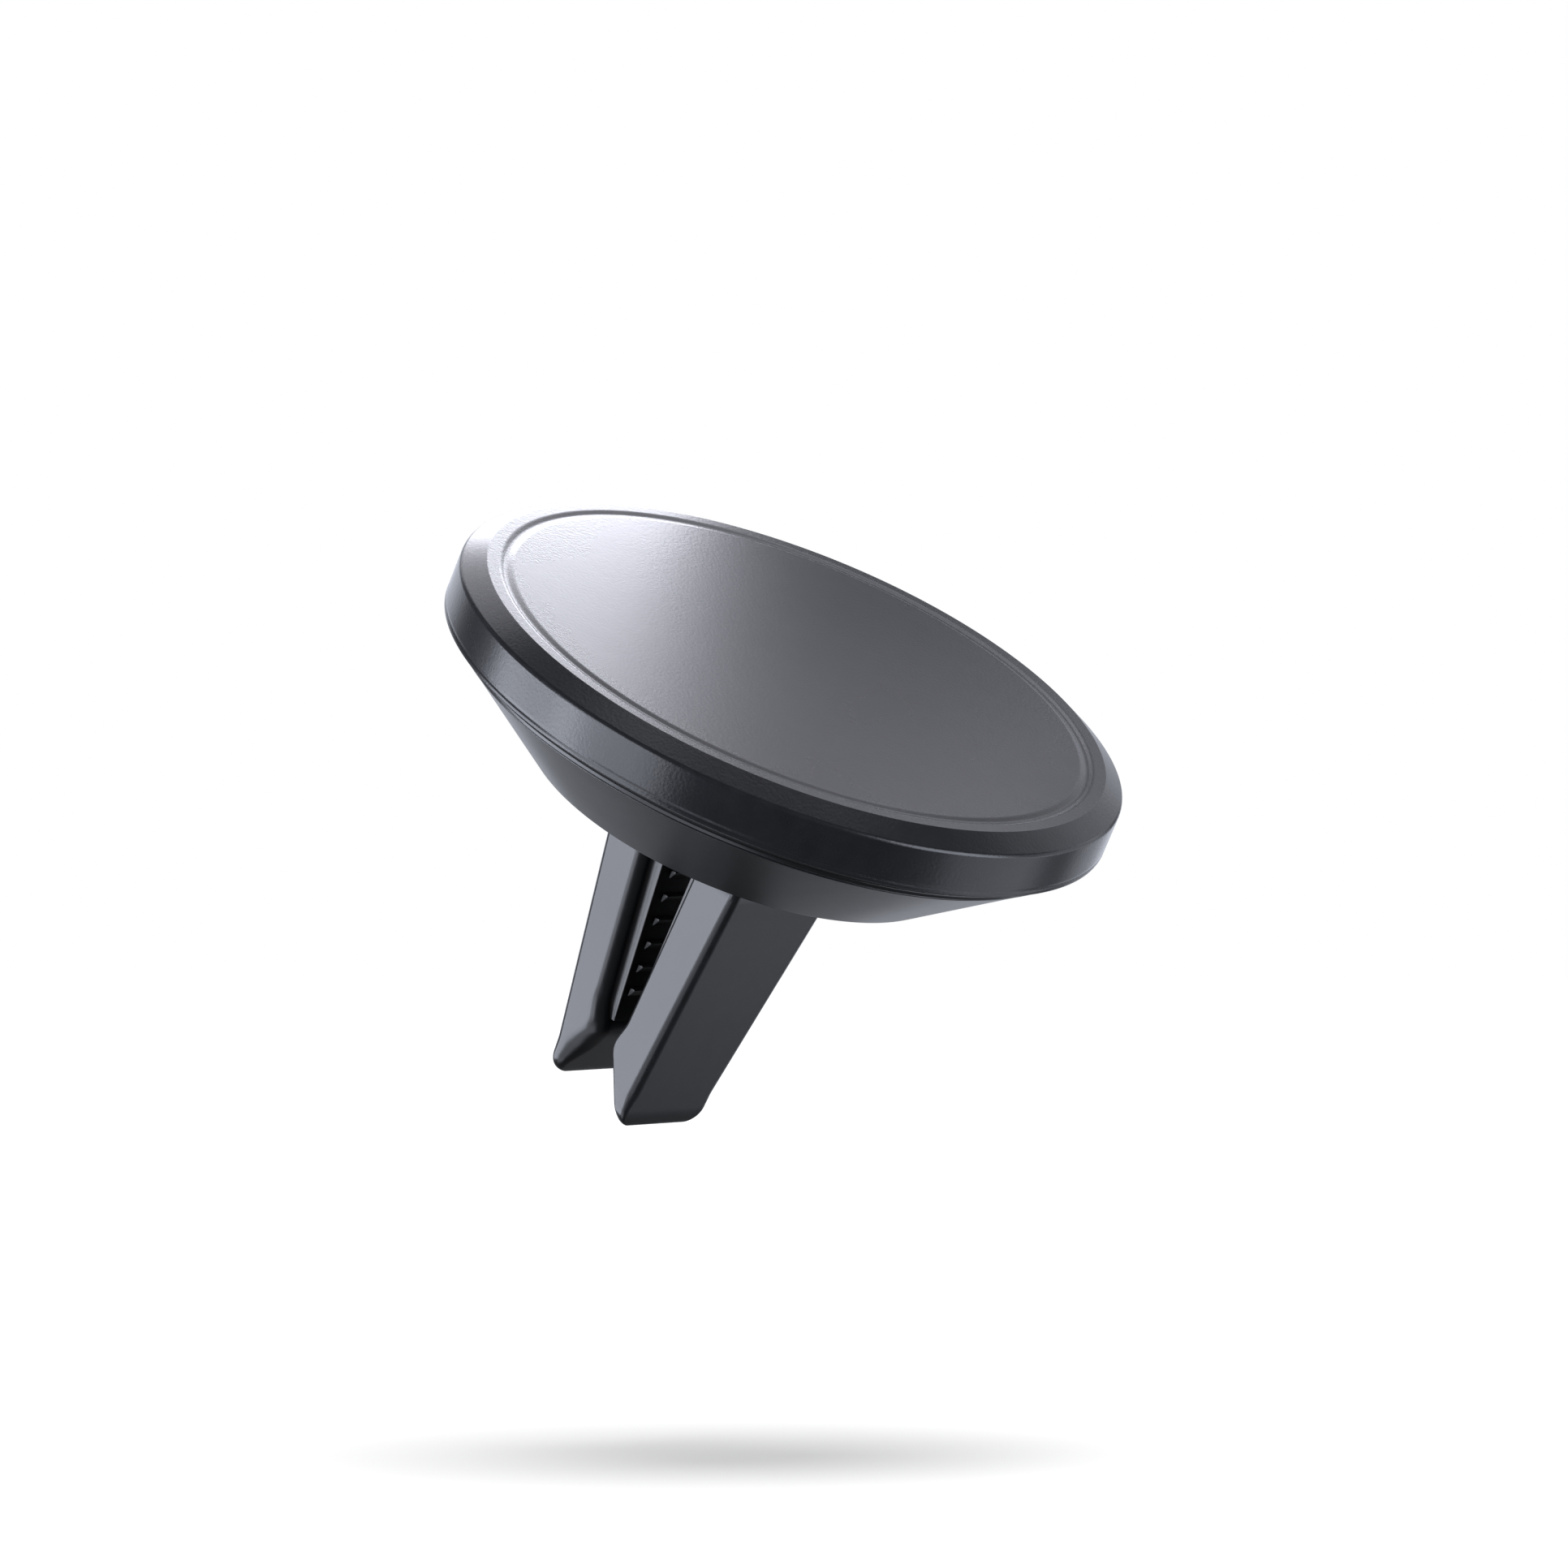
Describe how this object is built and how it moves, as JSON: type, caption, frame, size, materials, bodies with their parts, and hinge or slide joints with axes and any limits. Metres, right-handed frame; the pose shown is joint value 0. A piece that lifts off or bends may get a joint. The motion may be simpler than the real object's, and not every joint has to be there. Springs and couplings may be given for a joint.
{
  "type": "magnetic car vent phone mount",
  "caption": "Round magnetic phone holder on a ball joint, with a two-jaw clip that pushes onto a car's air vent blade.",
  "frame": {"origin": "centre of the head's flat face, where the phone rests", "axes": "+Z out of the head's flat face, +X across the two jaws, +Y along the vent blade"},
  "size_m": [0.056, 0.056, 0.0402],
  "materials": {
    "cover_plastic": "soft-touch charcoal, fine grain",
    "shell_plastic": "satin moulded charcoal",
    "clip_plastic": "satin moulded charcoal nylon",
    "frame_plastic": "plain moulded black",
    "nylon": "natural nylon",
    "pad_rubber": "matte soft rubber",
    "magnet": "nickel plated",
    "steel": "zinc plated",
    "spring_steel": "blued spring steel",
    "stud_steel": "black oxide"
  },
  "bodies": {
    "clip": {"clip_base": "clip_plastic", "ball_stud": "stud_steel", "stud_screw": "steel"},
    "liner": {"ball_liner": "nylon"},
    "head": {"front_cover": "cover_plastic", "magnet_carrier": "frame_plastic", "magnet_01": "magnet", "magnet_02": "magnet", "magnet_03": "magnet", "magnet_04": "magnet", "magnet_05": "magnet", "magnet_06": "magnet", "magnet_07": "magnet", "magnet_08": "magnet", "magnet_09": "magnet", "magnet_10": "magnet", "magnet_11": "magnet", "magnet_12": "magnet", "magnet_13": "magnet", "magnet_14": "magnet", "magnet_15": "magnet", "magnet_16": "magnet", "yoke_ring": "steel", "chassis": "frame_plastic", "chassis_screws": "steel", "trim_ring": "shell_plastic", "rear_cone": "shell_plastic", "disc_spring": "spring_steel", "socket_seat": "nylon", "clamp_nut": "shell_plastic"},
    "jaw_right": {"jaw_right": "clip_plastic", "grip_pad_right": "pad_rubber", "spring_leaf_right": "spring_steel"},
    "jaw_left": {"jaw_left": "clip_plastic", "grip_pad_left": "pad_rubber", "spring_leaf_left": "spring_steel"}
  },
  "joints": [
    {"name": "head_swivel", "type": "hinge", "parent": "clip", "child": "liner", "pos_m": [0, 0, -0.0082], "axis": [0, 0, 1], "continuous": true},
    {"name": "head_tilt", "type": "hinge", "parent": "liner", "child": "head", "pos_m": [0, 0, -0.0082], "axis": [1, 0, 0], "range_deg": [-15, 15]},
    {"name": "jaw_right_flex", "type": "hinge", "parent": "clip", "child": "jaw_right", "pos_m": [0.0056, 0, -0.0162], "axis": [0, -1, 0], "range_deg": [0, 4], "stiffness_Nm_per_rad": 1.7},
    {"name": "jaw_left_flex", "type": "hinge", "parent": "clip", "child": "jaw_left", "pos_m": [-0.0056, 0, -0.0162], "axis": [0, 1, 0], "range_deg": [0, 4], "stiffness_Nm_per_rad": 1.7}
  ]
}
